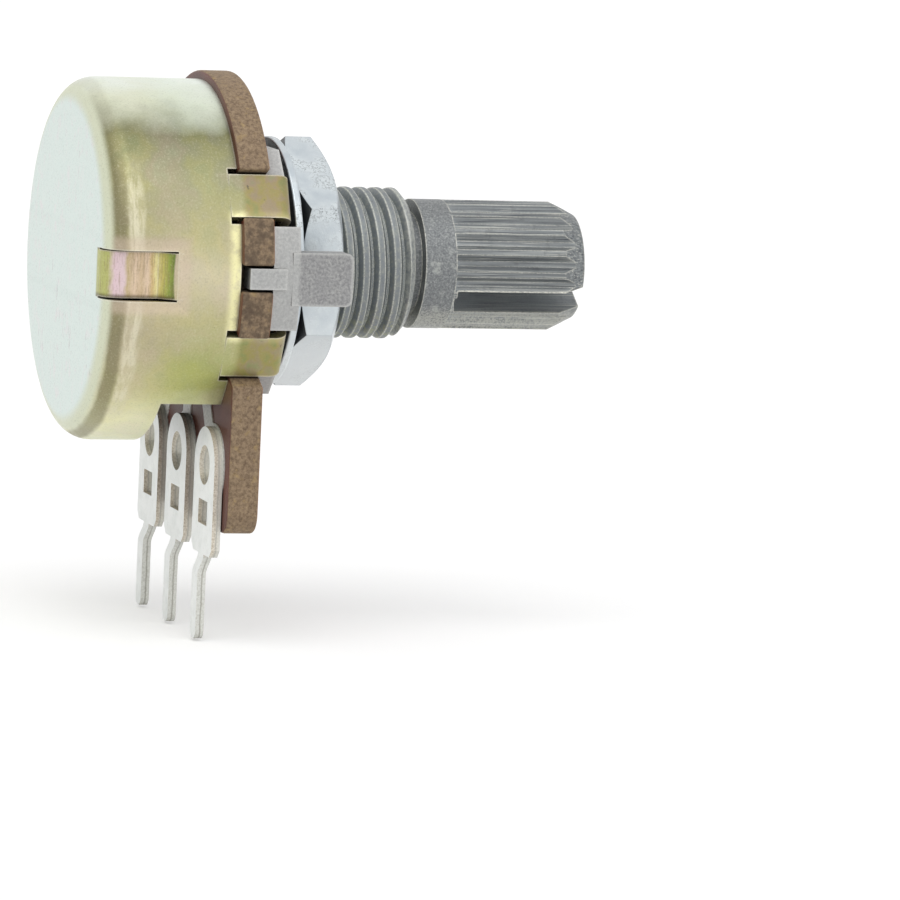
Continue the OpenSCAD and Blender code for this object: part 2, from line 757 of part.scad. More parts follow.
// Drawn cup with four crimped tabs, the opening for the terminals and the pressed-in stop
module dust_cover() {
  color("darkkhaki") upright() {
    difference() {
      rotate_extrude($fn = 96) cup_profile();
      translate([-cover_d / 2 - over, -stop_w / 2 - shear_gap, board_back + stop_start])
        cube([cover_d / 2 + over - stop_root, stop_w + 2 * shear_gap, cover_depth]);
      translate([-cover_d, mouth_drop, board_back - over])
        cube([2 * cover_d, cover_d, mouth_depth + over]);
      at_tabs() for (side = [-1, 1])
        translate([cover_in_r - over, side * (tab_w + relief_w) / 2 - relief_w / 2, board_back - over])
          cube([sheet_t + 2 * over, relief_w, relief_depth + over]);
    }
    at_tabs() intersection() {
      translate([0, tab_w / 2, 0]) rotate([90, 0, 0]) linear_extrude(tab_w) tab_profile();
      translate([0, 0, -over]) linear_extrude(cover_depth) tab_outline();
    }
    rotate([0, 0, 180]) translate([0, stop_w / 2, 0]) rotate([90, 0, 0]) linear_extrude(stop_w) stop_profile();
  }
}

// Plain flat washer, loose between the pads and the nut
module washer() {
  color("lightsteelblue") upright() translate([0, 0, -washer_stand - washer_t])
    linear_extrude(washer_t) ring(washer_d / 2, bush_d / 2 + washer_clear);
}

// Hexagon nut with chamfered corners and countersunk thread
module hex_nut() {
  back = -washer_stand - washer_t - face_clear;
  bore = bush_d / 2 + nut_clear;
  sink = bore + nut_sink;
  corner = nut_flats / sqrt(3);
  drop = (corner - nut_flats / 2) * tan(nut_chamfer_angle);
  color("lightsteelblue") upright() translate([0, 0, back - nut_t]) difference() {
    intersection() {
      rotate([0, 0, 30]) cylinder(r = corner, h = nut_t, $fn = 6);
      rotate_extrude() polygon([[0, 0], [nut_flats / 2, 0], [corner, drop], [corner, nut_t - drop],
                                [nut_flats / 2, nut_t], [0, nut_t]]);
    }
    translate([0, 0, -over]) cylinder(r = bore, h = nut_t + 2 * over);
    for (end = [0, 1]) translate([0, 0, end * nut_t]) mirror([0, 0, end]) rotate_extrude()
      polygon([[0, -over], [sink, -over], [sink, 0], [bore, nut_sink], [0, nut_sink]]);
  }
}

dust_cover();
front_plate();
shaft();
retaining_ring();
rotor();
wiper();
track_board();
resistive_track();
collector_ring();
end_pads();
terminal_1();
terminal_2();
terminal_3();
washer();
hex_nut();
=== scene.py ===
import math

import bmesh
import bpy
import numpy as np
from mathutils import Matrix, Vector


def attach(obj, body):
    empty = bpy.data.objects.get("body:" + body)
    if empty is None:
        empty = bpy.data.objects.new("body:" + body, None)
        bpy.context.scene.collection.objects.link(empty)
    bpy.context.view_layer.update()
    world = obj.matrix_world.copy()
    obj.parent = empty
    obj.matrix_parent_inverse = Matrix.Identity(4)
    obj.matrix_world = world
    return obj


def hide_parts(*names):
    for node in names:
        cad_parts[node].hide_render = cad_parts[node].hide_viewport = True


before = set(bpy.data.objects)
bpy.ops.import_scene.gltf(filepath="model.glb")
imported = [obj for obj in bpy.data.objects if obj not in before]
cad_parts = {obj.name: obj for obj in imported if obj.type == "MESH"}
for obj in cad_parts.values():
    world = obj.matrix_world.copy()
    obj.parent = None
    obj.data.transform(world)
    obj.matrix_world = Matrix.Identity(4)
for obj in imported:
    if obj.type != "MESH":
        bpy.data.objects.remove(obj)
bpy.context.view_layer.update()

mm = 0.001

# The camera, at the photographed view. It stands far off on the lug's side and a little behind, so
# the control shows almost without perspective: cover to the left, knob end to the right.
view_azimuth = math.radians(252.64)
view_elevation = math.radians(6.97)
view_roll = math.radians(2.64)
view_distance = 300 * mm
view_lens = 257.1
view_middle = Vector((0, -10.03, -8.72)) * mm

towards_camera = Vector((math.sin(view_azimuth) * math.cos(view_elevation),
                         -math.cos(view_azimuth) * math.cos(view_elevation),
                         math.sin(view_elevation)))
level_right = Vector((math.cos(view_azimuth), math.sin(view_azimuth), 0))
level_up = towards_camera.cross(level_right)
rolled_right = level_right * math.cos(view_roll) + level_up * math.sin(view_roll)
rolled_up = level_up * math.cos(view_roll) - level_right * math.sin(view_roll)

camera = bpy.data.objects.new("camera", bpy.data.cameras.new("camera"))
camera.data.sensor_width = 36
camera.data.lens = view_lens
camera.data.clip_start = 10 * mm
camera.data.clip_end = 20
camera.matrix_world = (Matrix.Translation(view_middle + towards_camera * view_distance)
                       @ Matrix((rolled_right, rolled_up, towards_camera)).transposed().to_4x4())
bpy.context.collection.objects.link(camera)
bpy.context.scene.camera = camera
bpy.context.scene.view_settings.view_transform = "Standard"


# The photographer's table: a white sheet under the solder pins, white all round, and two wide soft
# lights. Camera, glossy and see-through rays meet plain white; the object is lit at a plain level.
table_height = -16.9 * mm
table_half = 3.0
sky_level = 0.6
table_white_share = 0.86
table_lift = 0.27
lights = {"light_above": ((-0.45, 0.25, 1.0), 1.0, 50),
          "light_front": ((-0.8, -0.7, 0.5), 0.3, 70)}


def put(tree, kind, feeds=None, **settings):
    """Adds a node of that kind. feeds gives its inputs, by name or number, a value or a socket."""
    node = tree.nodes.new(kind)
    for name, value in settings.items():
        setattr(node, name, value)
    for key, value in (feeds or {}).items():
        if isinstance(value, bpy.types.NodeSocket):
            tree.links.new(value, node.inputs[key])
        else:
            node.inputs[key].default_value = value
    return node


def sums(tree, operation, first, second=0.0):
    """One Math node on two values or sockets; gives its output."""
    return put(tree, "ShaderNodeMath", {0: first, 1: second}, operation=operation).outputs[0]


def larger(tree, first, second):
    return sums(tree, "MAXIMUM", first, second)


def seen_plainly(tree):
    """1 for camera, glossy and see-through rays, and 0 for the rays that light the object."""
    rays = put(tree, "ShaderNodeLightPath").outputs
    return larger(tree, rays["Is Camera Ray"],
                  larger(tree, rays["Is Glossy Ray"], rays["Is Transmission Ray"]))


table = bpy.data.objects.new("table", bpy.data.meshes.new("table"))
corners = [(x * table_half, y * table_half, table_height) for x, y in ((-1, -1), (1, -1), (1, 1), (-1, 1))]
table.data.from_pydata(corners, [], [(0, 1, 2, 3)])
bpy.context.collection.objects.link(table)
table_white = bpy.data.materials.new("table_white")
table_white.use_nodes = True
tree = table_white.node_tree
tree.nodes.clear()
lit = put(tree, "ShaderNodeBsdfDiffuse", {"Color": (table_white_share,) * 3 + (1,)})
glow = put(tree, "ShaderNodeEmission", {"Color": (table_lift,) * 3 + (1,)})
dark = put(tree, "ShaderNodeEmission", {"Color": (0, 0, 0, 1)})
lift = put(tree, "ShaderNodeMixShader", {0: seen_plainly(tree), 1: dark.outputs[0], 2: glow.outputs[0]})
both = put(tree, "ShaderNodeAddShader", {0: lit.outputs[0], 1: lift.outputs[0]})
put(tree, "ShaderNodeOutputMaterial", {"Surface": both.outputs[0]})
table.data.materials.append(table_white)

world = bpy.data.worlds.new("white_all_round")
bpy.context.scene.world = world
world.use_nodes = True
tree = world.node_tree
tree.nodes.clear()
light = put(tree, "ShaderNodeBackground", {"Color": (1, 1, 1, 1), "Strength": sky_level})
white = put(tree, "ShaderNodeBackground", {"Color": (1, 1, 1, 1), "Strength": 1.0})
sky = put(tree, "ShaderNodeMixShader", {0: seen_plainly(tree), 1: light.outputs[0], 2: white.outputs[0]})
put(tree, "ShaderNodeOutputWorld", {"Surface": sky.outputs[0]})

for name, (source, strength, spread) in lights.items():
    lamp = bpy.data.objects.new(name, bpy.data.lights.new(name, "SUN"))
    lamp.data.energy = strength
    lamp.data.angle = math.radians(spread)
    lamp.rotation_mode = "QUATERNION"
    lamp.rotation_quaternion = Vector(source).to_track_quat("Z", "Y")
    bpy.context.collection.objects.link(lamp)


# The front plate: one zinc die casting with two raised pads, the bush, the locating lug and the two
# keys that set the board. Its skin is grainy, its edges carry painted highlights, its corners painted
# shade, and a ring of painted shade lies under the washer.
casting_rounding = 0.15 * mm
rounding_steps = 3
merge_gap = 0.0002 * mm
cut_gap = 0.0001 * mm
near = 0.01 * mm
flat_angle = math.radians(0.3)
thread_core_r = 3.0 * mm
bush_reach_r = 4.0 * mm
bush_front = -7.0 * mm
bush_end_zone = 0.5 * mm
bush_drawn_back = 0.1 * mm
lug_front = -2.44 * mm
washer_shade_r = 5.4 * mm


def dressed(name, node, body, rounding, keep_angle=32, cuts=(), bend=None):
    """A copy of a CAD node's mesh with doubles merged. With a rounding, its flat faces are joined and its
    edges get a small bevel. cuts names planes, each an axis and its places, that part the faces, so that
    shading and bends stay local. bend takes the array of points and gives it back moved."""
    piece = bpy.data.objects.new(name, bpy.data.meshes.new(name))
    shape = bmesh.new()
    shape.from_mesh(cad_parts[node].data)
    bmesh.ops.remove_doubles(shape, verts=shape.verts, dist=merge_gap)
    if rounding:
        bmesh.ops.dissolve_limit(shape, angle_limit=flat_angle, verts=shape.verts, edges=shape.edges)
    for axis, places in cuts:
        normal = Vector.Fill(3, 0)
        normal[axis] = 1
        for place in places:
            bmesh.ops.bisect_plane(shape, geom=shape.verts[:] + shape.edges[:] + shape.faces[:],
                                   dist=cut_gap, plane_co=normal * place, plane_no=normal)
    shape.to_mesh(piece.data)
    shape.free()
    if bend:
        points = np.empty(len(piece.data.vertices) * 3, np.float32)
        piece.data.vertices.foreach_get("co", points)
        moved = bend(points.reshape(-1, 3).astype(float))
        piece.data.vertices.foreach_set("co", moved.astype(np.float32).ravel())
        piece.data.update()
    for layer in ("custom_normal", "sharp_face", "sharp_edge"):
        if layer in piece.data.attributes:
            piece.data.attributes.remove(piece.data.attributes[layer])
    piece.data.shade_smooth()
    piece.data.set_sharp_from_angle(angle=math.radians(keep_angle))
    bpy.context.collection.objects.link(piece)
    if rounding:
        bevel = piece.modifiers.new("rounding", "BEVEL")
        bevel.width = rounding
        bevel.segments = rounding_steps
        bevel.limit_method = "ANGLE"
        bevel.angle_limit = math.radians(keep_angle)
        bevel.use_clamp_overlap = True
        bevel.harden_normals = True
    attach(piece, body)
    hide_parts(node)
    return piece


def to_radius(points, chosen, radius):
    """Moves the chosen points straight in or out until they lie radius away from the shaft's axis."""
    r = np.hypot(points[:, 0], points[:, 2])
    share = np.where(chosen, radius / np.where(chosen, r, 1), 1)[:, None]
    return points * np.concatenate([share, np.ones_like(share), share], 1)


def slim_bush(points):
    """Draws the bush in under its thread: points outside the core in front of the pads move in to it, and
    its front end moves back a little."""
    r, y = np.hypot(points[:, 0], points[:, 2]), points[:, 1]
    points = to_radius(points, (y < -near) & (r > thread_core_r) & (r < bush_reach_r), thread_core_r)
    at_end = (y < bush_front + bush_end_zone) & (r < bush_reach_r)
    points[:, 1] = np.where(at_end, np.maximum(y, bush_front + bush_drawn_back), y)
    return points


plate = dressed("plate_casting", "front_plate", "housing", casting_rounding, bend=slim_bush)


def effect(name, inputs, outputs):
    """A shader node group. inputs gives name: (kind, value), and outputs gives name: kind."""
    group = bpy.data.node_groups.new(name, "ShaderNodeTree")
    for label, (kind, value) in inputs.items():
        group.interface.new_socket(label, in_out="INPUT", socket_type=kind).default_value = value
    for label, kind in outputs.items():
        group.interface.new_socket(label, in_out="OUTPUT", socket_type=kind)
    return group, put(group, "NodeGroupInput").outputs, put(group, "NodeGroupOutput").inputs


def use(tree, group, feeds=None):
    """Places an effect in a material; gives its outputs."""
    return put(tree, "ShaderNodeGroup", feeds, node_tree=group).outputs


def cloud(tree, where, size, detail=3.0, stretch=(1, 1, 1), roughness=0.5):
    """Noise whose lumps are about size across, drawn out along an axis whose stretch is above 1."""
    scale = tuple(1 / (size * s) for s in stretch)
    place = put(tree, "ShaderNodeMapping", {"Vector": where, "Scale": scale}, vector_type="POINT")
    return put(tree, "ShaderNodeTexNoise", {"Vector": place.outputs[0], "Scale": 1.0, "Detail": detail,
                                            "Roughness": roughness}).outputs["Fac"]


def step(tree, value, low, high, to_low=0.0, to_high=1.0):
    """Smooth rise from to_low to to_high as value goes from low to high."""
    return put(tree, "ShaderNodeMapRange", {"Value": value, "From Min": low, "From Max": high,
                                            "To Min": to_low, "To Max": to_high},
               interpolation_type="SMOOTHSTEP").outputs[0]


def blend(tree, share, first, second):
    """Mixes two colours by share."""
    return put(tree, "ShaderNodeMix", {0: share, 6: first, 7: second}, data_type="RGBA",
               clamp_factor=True).outputs[2]


def times(tree, first, second):
    return sums(tree, "MULTIPLY", first, second)


def plus(tree, first, second):
    return sums(tree, "ADD", first, second)


def around(tree, x, z):
    """Distance from the shaft's axis."""
    return sums(tree, "SQRT", plus(tree, times(tree, x, x), times(tree, z, z)))


def size(tree, value):
    """The value without its sign."""
    return sums(tree, "ABSOLUTE", value)


def paint(red, green, blue):
    """A colour as it reads on screen, 0 to 255, turned to the linear values of a socket."""
    screen = np.array([red, green, blue]) / 255
    linear = np.where(screen <= 0.04045, screen / 12.92, ((screen + 0.055) / 1.055) ** 2.4)
    return (*linear.tolist(), 1.0)


def colours(tree, value, stops):
    """A colour ramp through stops, each a place from 0 to 1 and a colour."""
    ramp = put(tree, "ShaderNodeValToRGB", {"Fac": value})
    band = ramp.color_ramp
    while len(band.elements) < len(stops):
        band.elements.new(1.0)
    for element, (place, colour) in zip(band.elements, stops):
        element.position = place
    for element, (place, colour) in zip(band.elements, stops):
        element.color = colour
    return ramp.outputs[0]


def begin(name):
    """A new material; gives it, its node tree and the object coordinates with their parts."""
    material = bpy.data.materials.new(name)
    material.use_nodes = True
    tree = material.node_tree
    tree.nodes.clear()
    where = put(tree, "ShaderNodeTexCoord").outputs["Object"]
    parts = put(tree, "ShaderNodeSeparateXYZ", {0: where}).outputs
    return material, tree, where, parts


def finish(tree, colour, roughness, metallic, height, depth):
    """Closes a material: one Principled shader, bumped by height as deep as depth."""
    bump = put(tree, "ShaderNodeBump", {"Height": height, "Distance": depth, "Strength": 1.0})
    surface = put(tree, "ShaderNodeBsdfPrincipled", {"Base Color": colour, "Roughness": roughness,
                                                     "Metallic": metallic, "Normal": bump.outputs[0]})
    put(tree, "ShaderNodeOutputMaterial", {"Surface": surface.outputs[0]})


# Edge mask from the Bevel node: pale colours laid with it are painted highlights along the edges.
edge_wear_and_highlight, given, result = effect("edge_wear_and_highlight", {"Width": ("NodeSocketFloat", 0.1 * mm)},
                                  {"Mask": "NodeSocketFloat"})
rounded = put(edge_wear_and_highlight, "ShaderNodeBevel", {"Radius": given["Width"]}, samples=6).outputs[0]
plain = put(edge_wear_and_highlight, "ShaderNodeNewGeometry").outputs["Normal"]
turn = put(edge_wear_and_highlight, "ShaderNodeVectorMath", {0: rounded, 1: plain}, operation="DOT_PRODUCT").outputs
edge_wear_and_highlight.links.new(step(edge_wear_and_highlight, turn["Value"], 0.995, 0.9), result["Mask"])

# Ambient occlusion mask of the hollows, for painting shade into corners and crevices.
hollow_shading, given, result = effect("hollow_shading", {"Reach": ("NodeSocketFloat", 0.5 * mm)},
                              {"Mask": "NodeSocketFloat"})
open_sky = put(hollow_shading, "ShaderNodeAmbientOcclusion", {"Distance": given["Reach"]}, samples=6).outputs["AO"]
hollow_shading.links.new(step(hollow_shading, open_sky, 0.75, 0.2), result["Mask"])


def paint_edge_wear_and_highlight(tree, tone, width, share, colour):
    """Lays colour on the edges, as far as width from them; a pale colour is a painted highlight."""
    return blend(tree, times(tree, use(tree, edge_wear_and_highlight, {"Width": width})["Mask"], share), tone, colour)


def paint_hollow_shading(tree, tone, reach, share, colour):
    """Paints shade in the corners that another face comes nearer to than reach; pale colours paint light."""
    return blend(tree, times(tree, use(tree, hollow_shading, {"Reach": reach})["Mask"], share), tone, colour)


casting_grey, tree, where, parts = begin("casting_grey")
lumps = cloud(tree, where, 0.7 * mm, 4)
grain = cloud(tree, where, 0.12 * mm, 4, roughness=0.65)
tone = colours(tree, grain, [(0.28, paint(124, 124, 126)), (0.45, paint(150, 150, 150)),
                             (0.58, paint(166, 166, 165)), (0.75, paint(190, 190, 189))])
tone = blend(tree, step(tree, lumps, 0.35, 0.65, 0.3, 0), tone, paint(126, 126, 128))
x, y, z = parts["X"], parts["Y"], parts["Z"]
tone = blend(tree, step(tree, y, -0.1 * mm, 0.15 * mm, 0, 0.34), tone, paint(212, 213, 210))
r = around(tree, x, z)
front = larger(tree, step(tree, size(tree, y), 0.03 * mm, 0.01 * mm),
               step(tree, y, lug_front + 0.02 * mm, lug_front))
seam = times(tree, step(tree, size(tree, z), 0.07 * mm, 0.02 * mm), step(tree, r, 4.8 * mm, 5.2 * mm))
seam = times(tree, seam, front)
tone = blend(tree, times(tree, seam, step(tree, grain, 0.4, 0.6, 0.2, 0.8)), tone, paint(208, 208, 206))
# Painted highlight along the edges, and painted shade in the corners.
tone = paint_edge_wear_and_highlight(tree, tone, 0.24 * mm, 0.55, paint(212, 212, 209))
tone = paint_hollow_shading(tree, tone, 1.0 * mm, 0.8, paint(28, 28, 30))
# Painted shade: the casting is darkened inside the washer's rim, under it.
under = times(tree, step(tree, r, washer_shade_r + 0.45 * mm, washer_shade_r),
              step(tree, y, 0.7 * mm, 0.3 * mm))
tone = blend(tree, times(tree, under, 0.6), tone, paint(58, 58, 60))
relief = plus(tree, grain, times(tree, seam, 0.8))
finish(tree, tone, step(tree, lumps, 0.3, 0.7, 0.45, 0.62), 0.6, relief, 0.03 * mm)
plate.data.materials.append(casting_grey)


# The bush's thread, M7 with a pitch of 0.75 mm, right-handed. It is cut into the casting, and the edges
# of its crests carry painted highlights. place_in_pitch is 0 in a groove and 1 on a crest.
thread_pitch = 0.75 * mm
thread_crest_r = 3.5 * mm
thread_root_r = 3.16 * mm
thread_bore_r = 2.46 * mm
thread_foot_r = 3.15 * mm
thread_chamfer = 1.1
thread_crest_share = 0.36
thread_root_share = 0.14
thread_phase = 0.1
thread_back = -0.25 * mm
thread_runout = 0.05 * mm
thread_lead = 1.5
thread_spare_turns = 3
thread_merge_gap = 0.001 * mm
thread_keep_angle = 50
thread_steps_round = 120
thread_steps_pitch = 16


def thread_surface():
    """The bush's outside over angle t and pitch p: y = -(p + t / 360 deg) pitches, clipped to the two ends.
    The radius follows crest, flank, root and flank, and is held under the end chamfer and the runout at
    the foot. Rows follow the helix, so one turn joins its own row one pitch on; the bore closes it."""
    turns = int(abs(bush_front) / thread_pitch) + thread_spare_turns
    rows = np.arange(turns * thread_steps_pitch + 1)
    t = np.arange(thread_steps_round + 1) / thread_steps_round
    share = (rows / thread_steps_pitch)[:, None] + np.zeros_like(t)[None, :]
    along = -(share - thread_lead + thread_phase + t[None, :]) * thread_pitch
    place = np.abs((share % 1.0) - 0.5) * 2
    rise = np.clip((place - thread_root_share) / (1 - thread_root_share - thread_crest_share), 0, 1)
    radius = thread_root_r + (thread_crest_r - thread_root_r) * rise
    y = np.clip(along, bush_front, thread_back)
    radius = np.minimum(radius, thread_root_r + (y - bush_front) * thread_chamfer)
    radius = np.minimum(radius, thread_foot_r + np.clip(thread_back - thread_runout - y, 0, None))
    angle = 2 * np.pi * t[None, :] + np.zeros_like(y)
    outside = np.stack([radius * np.cos(angle), y, radius * np.sin(angle)], -1)
    points = outside[:, :-1].reshape(-1, 3)
    count = thread_steps_round
    cell = np.arange(len(rows) - 1)[:, None] * count + np.arange(count)[None, :]
    shift = np.zeros(count, int)
    shift[-1] = thread_steps_pitch * count - count
    after = cell + 1 + shift
    keep = after + count < len(points)
    faces = np.stack([cell[keep], after[keep], after[keep] + count, cell[keep] + count], -1)
    return points, faces, place[:, :-1].reshape(-1)


def from_arrays(name, points, faces):
    """A mesh object from arrays of points and of four-cornered faces."""
    piece = bpy.data.objects.new(name, bpy.data.meshes.new(name))
    piece.data.from_pydata(points.tolist(), [], faces.tolist())
    piece.data.update()
    bpy.context.collection.objects.link(piece)
    return piece


points, faces, place = thread_surface()
thread = from_arrays("bush_thread", points, faces)
thread.data.attributes.new("place_in_pitch", "FLOAT", "POINT").data.foreach_set("value", place)
shape = bmesh.new()
shape.from_mesh(thread.data)
bmesh.ops.remove_doubles(shape, verts=shape.verts, dist=thread_merge_gap)
loose = [v for v in shape.verts if not v.link_faces]
bmesh.ops.delete(shape, geom=loose, context="VERTS")
for end, end_r in ((bush_front, thread_root_r), (thread_back, thread_foot_r)):
    rim = [e for e in shape.edges if e.is_boundary and abs(e.verts[0].co.y - end) < near]
    wall = bmesh.ops.extrude_edge_only(shape, edges=rim)["geom"]
    inner = [v for v in wall if isinstance(v, bmesh.types.BMVert)]
    bmesh.ops.scale(shape, vec=(thread_bore_r / end_r, 1, thread_bore_r / end_r), verts=inner)
bmesh.ops.bridge_loops(shape, edges=[e for e in shape.edges if e.is_boundary])
bmesh.ops.recalc_face_normals(shape, faces=shape.faces)
shape.to_mesh(thread.data)
shape.free()
thread.data.shade_smooth()
thread.data.set_sharp_from_angle(angle=math.radians(thread_keep_angle))
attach(thread, "housing")


def minus(tree, first, second):
    return sums(tree, "SUBTRACT", first, second)


thread_grey, tree, where, parts = begin("thread_grey")
scuff = cloud(tree, where, 0.22 * mm, 4, roughness=0.7)
fine = cloud(tree, where, 0.07 * mm, 2)
place = put(tree, "ShaderNodeAttribute", attribute_name="place_in_pitch").outputs["Fac"]
place = plus(tree, place, times(tree, minus(tree, scuff, 0.5), 0.1))
tone = colours(tree, place, [(0.0, paint(120, 126, 130)), (0.3, paint(130, 136, 139)),
                             (0.5, paint(134, 139, 142)), (0.7, paint(138, 142, 144)),
                             (1.0, paint(128, 133, 137))])
tone = blend(tree, step(tree, scuff, 0.5, 0.72, 0, 0.45), tone, paint(176, 178, 176))
tone = blend(tree, step(tree, scuff, 0.42, 0.3, 0, 0.3), tone, paint(82, 86, 90))
low = times(tree, step(tree, parts["Z"], -1.5 * mm, -3.2 * mm, 0.1, 0.5),
            step(tree, scuff, 0.45, 0.6))
tone = blend(tree, low, tone, paint(160, 162, 112))
# Painted highlight: bright lines along the edges of the crests.
line = times(tree, step(tree, place, 0.54, 0.61), step(tree, place, 0.74, 0.66))
ends = step(tree, parts["Y"], bush_front + 0.55 * mm, bush_front + 0.4 * mm)
crest_highlight = larger(tree, line, use(tree, edge_wear_and_highlight, {"Width": 0.09 * mm})["Mask"])
crest_highlight = times(tree, crest_highlight, step(tree, fine, 0.4, 0.56, 0.3, 1))
tone = blend(tree, crest_highlight, tone, paint(212, 213, 203))
ends = times(tree, ends, step(tree, scuff, 0.4, 0.6, 0.2, 0.8))
tone = blend(tree, ends, tone, paint(188, 190, 184))
finish(tree, tone, step(tree, fine, 0.3, 0.7, 0.45, 0.6), 0.5, scuff, 0.02 * mm)
thread.data.materials.append(thread_grey)


# The shaft: a rolled and turned aluminium alloy rod. Its knob end has 18 splines, a tapered
# nose and a sawn slot; it turns in the bush and is riveted over behind the rotor.
splines_back = -9.05 * mm

shaft = dressed("knob_shaft", "shaft", "turning_shaft", None, keep_angle=24)


def facing_y(tree):
    """How far a face looks along y: -1 to the knob end, 1 to the cover's back."""
    normal = put(tree, "ShaderNodeTexCoord").outputs["Normal"]
    return put(tree, "ShaderNodeSeparateXYZ", {0: normal}).outputs["Y"]


shaft_grey, tree, where, parts = begin("shaft_grey")
streak = cloud(tree, where, 0.11 * mm, 3, stretch=(1, 45, 1), roughness=0.5)
line = cloud(tree, where, 0.055 * mm, 2, stretch=(1, 80, 1))
blotch = cloud(tree, where, 0.55 * mm, 4, roughness=0.65)
fine = cloud(tree, where, 0.09 * mm, 3, roughness=0.7)
tone = colours(tree, streak, [(0.28, paint(92, 96, 99)), (0.45, paint(116, 120, 122)),
                              (0.6, paint(136, 140, 141)), (0.75, paint(166, 168, 166))])
turned = step(tree, parts["Y"], splines_back - 0.05 * mm, splines_back + 0.1 * mm)
smooth = colours(tree, fine, [(0.3, paint(100, 103, 106)), (0.52, paint(128, 131, 132)),
                              (0.72, paint(164, 166, 164))])
tone = blend(tree, turned, tone, smooth)
scored = minus(tree, 1.0, turned)
tone = blend(tree, times(tree, step(tree, line, 0.6, 0.68), scored), tone, paint(190, 190, 182))
tone = blend(tree, times(tree, step(tree, line, 0.38, 0.32), scored), tone, paint(74, 78, 84))
tone = blend(tree, step(tree, blotch, 0.45, 0.3, 0, 0.4), tone, paint(86, 89, 92))
pale = times(tree, turned, step(tree, blotch, 0.56, 0.72))
tone = blend(tree, times(tree, pale, 0.55), tone, paint(188, 191, 186))
# Painted highlight along the edges.
tone = paint_edge_wear_and_highlight(tree, tone, 0.11 * mm, step(tree, fine, 0.35, 0.6, 0.35, 1), paint(214, 213, 202))
# Painted reflection: the underside is paler.
low = times(tree, step(tree, parts["Z"], -1.6 * mm, -2.4 * mm), step(tree, fine, 0.35, 0.6, 0.1, 0.7))
tone = blend(tree, low, tone, paint(192, 192, 182))
# Painted light: the sawn slot and the grooves at the knob end are lifted to pale grey in their hollows.
knob_end_hollow_light = step(tree, parts["Y"], splines_back + 0.15 * mm, splines_back - 0.15 * mm, 0, 0.8)
tone = paint_hollow_shading(tree, tone, 1.6 * mm, knob_end_hollow_light, paint(196, 202, 206))
# Painted shading: faces that look to the knob end are drawn towards an even grey.
tone = blend(tree, step(tree, facing_y(tree), -0.75, -0.97, 0, 0.6), tone, paint(146, 150, 151))
finish(tree, tone, step(tree, blotch, 0.3, 0.7, 0.38, 0.55), 0.65, plus(tree, streak, fine), 0.02 * mm)
shaft.data.materials.append(shaft_grey)


# The retaining ring: an open ring of blackened spring steel. It is snapped into the shaft's groove
# behind the bush and keeps the shaft from being pulled out.
def reskin(node, material):
    """Gives a CAD node this material in place of its plain one."""
    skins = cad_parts[node].data.materials
    skins.clear()
    skins.append(material)


ring_grey, tree, where, parts = begin("ring_grey")
fine = cloud(tree, where, 0.1 * mm, 3)
tone = colours(tree, fine, [(0.3, paint(84, 86, 88)), (0.7, paint(128, 130, 130))])
finish(tree, tone, 0.4, 0.9, fine, 0.01 * mm)
reskin("retaining_ring", ring_grey)


# The track board: laminated paper and phenolic resin, punched to shape, so its faces are glossy
# orange brown and its cut edges are rough and flecked.
board_rounding = 0.24 * mm

board = dressed("laminate_board", "track_board", "housing", board_rounding)

board_brown, tree, where, parts = begin("board_brown")
facing = facing_y(tree)
lumps = cloud(tree, where, 2.6 * mm, 3)
weave = cloud(tree, where, 0.10 * mm, 4, roughness=0.7)
flecks = cloud(tree, where, 0.17 * mm, 5, roughness=0.75)
gold = cloud(tree, where, 0.42 * mm, 3, roughness=0.6)
x, y, z = parts["X"], parts["Y"], parts["Z"]
front = colours(tree, lumps, [(0.3, paint(120, 60, 30)), (0.7, paint(152, 78, 34))])
outer = larger(tree, step(tree, size(tree, x), 5.2 * mm, 7.6 * mm),
               step(tree, z, -9.6 * mm, -11.7 * mm))
front = blend(tree, times(tree, outer, 0.6), front, paint(190, 104, 42))
front = blend(tree, times(tree, step(tree, weave, 0.45, 0.7), 0.18), front, paint(205, 125, 70))
# Painted shade: the face that looks to the cover is darker.
rear_face_shade = colours(tree, lumps, [(0.3, paint(76, 36, 26)), (0.7, paint(106, 54, 36))])
face = blend(tree, step(tree, facing, -0.2, 0.2), front, rear_face_shade)
cut = colours(tree, flecks, [(0.3, paint(98, 78, 60)), (0.42, paint(124, 103, 80)),
                             (0.54, paint(146, 124, 98)), (0.66, paint(164, 141, 112)),
                             (0.8, paint(190, 168, 136))])
cut = blend(tree, step(tree, gold, 0.56, 0.74, 0, 0.5), cut, paint(184, 156, 104))
between = times(tree, step(tree, size(tree, z), 3.4 * mm, 3.0 * mm),
                step(tree, size(tree, x), 7.0 * mm, 7.2 * mm))
between = times(tree, between, step(tree, gold, 0.58, 0.4, 0.1, 0.65))
cut = blend(tree, between, cut, paint(74, 60, 46))
cut = blend(tree, step(tree, gold, 0.4, 0.28, 0, 0.4), cut, paint(76, 58, 45))
sideways = size(tree, facing)
tone = blend(tree, step(tree, sideways, 0.95, 0.6), face, cut)
# Painted shade in the corners.
tone = paint_hollow_shading(tree, tone, 0.9 * mm, 0.8, paint(24, 16, 12))
rough = step(tree, sideways, 0.55, 0.95, 0.7, 0.45)
finish(tree, tone, rough, 0.0, weave, 0.02 * mm)
board.data.materials.append(board_brown)


